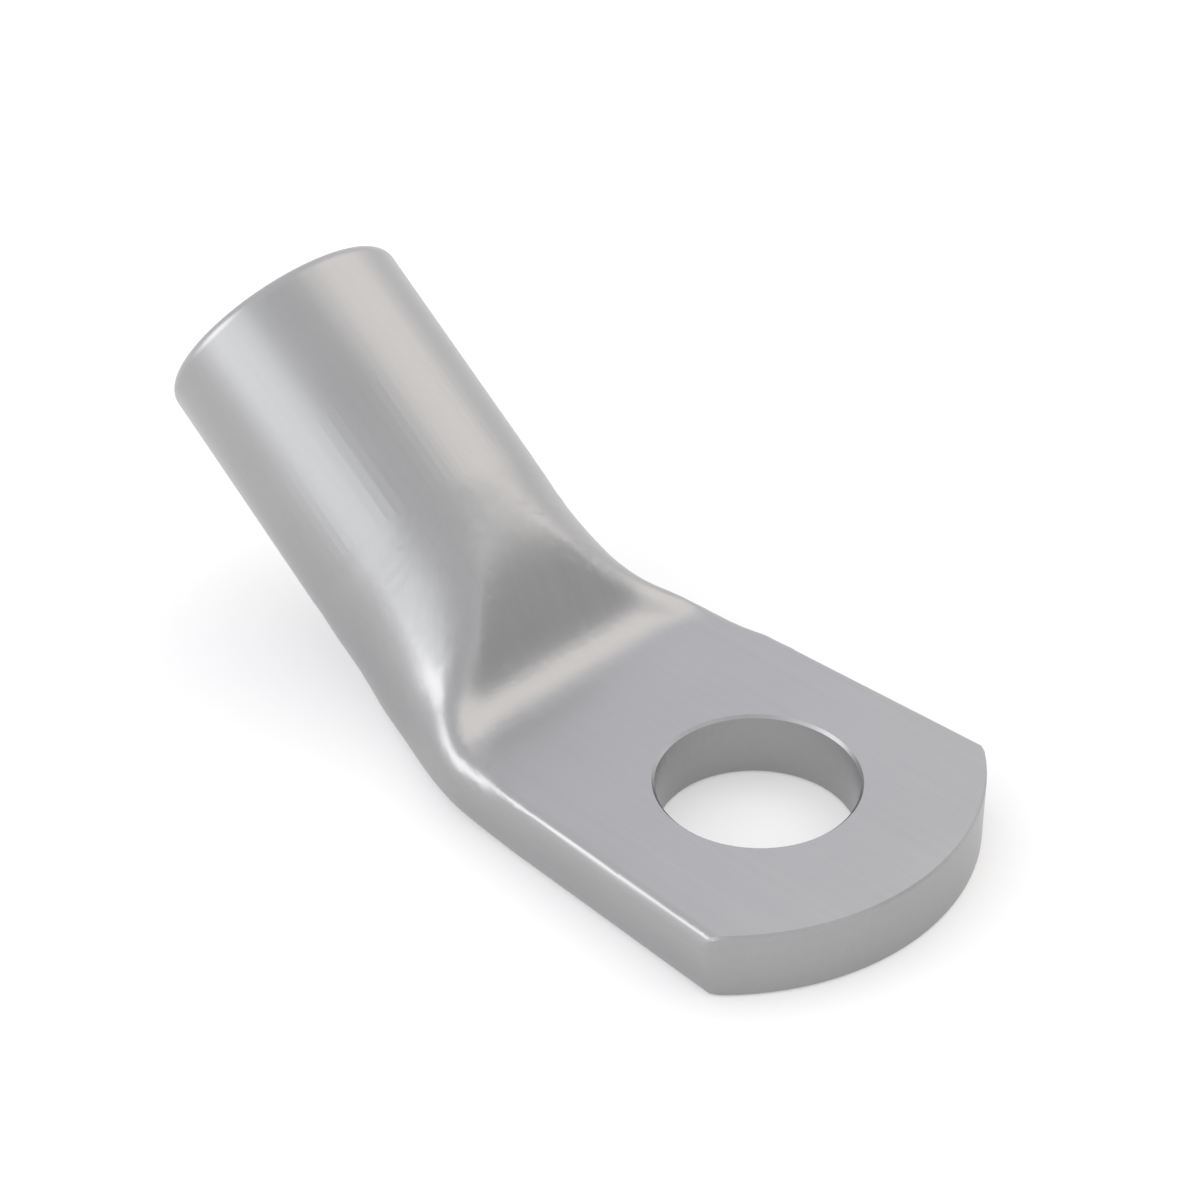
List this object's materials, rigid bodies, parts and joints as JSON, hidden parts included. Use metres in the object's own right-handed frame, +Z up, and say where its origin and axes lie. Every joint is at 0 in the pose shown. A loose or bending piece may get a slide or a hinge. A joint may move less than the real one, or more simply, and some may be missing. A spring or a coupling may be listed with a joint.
{
  "type": "angled cable lug",
  "caption": "Angled tubular cable lug: a tinned copper tube pressed flat into a bolt palm with a clearance hole, its open barrel bent up from it to take a stranded cable",
  "frame": {"origin": "bolt hole's axis on the palm's underside", "axes": "+X from the bolt hole to the palm's tip, +Z up out of the palm, the barrel rises towards -X"},
  "size_m": [0.0524, 0.021, 0.0219],
  "materials": {
    "tinned_copper": "satin tin plating on copper, barrel lightly drawn along its length"
  },
  "bodies": {
    "root": {"cable_lug": "tinned_copper"}
  },
  "joints": []
}
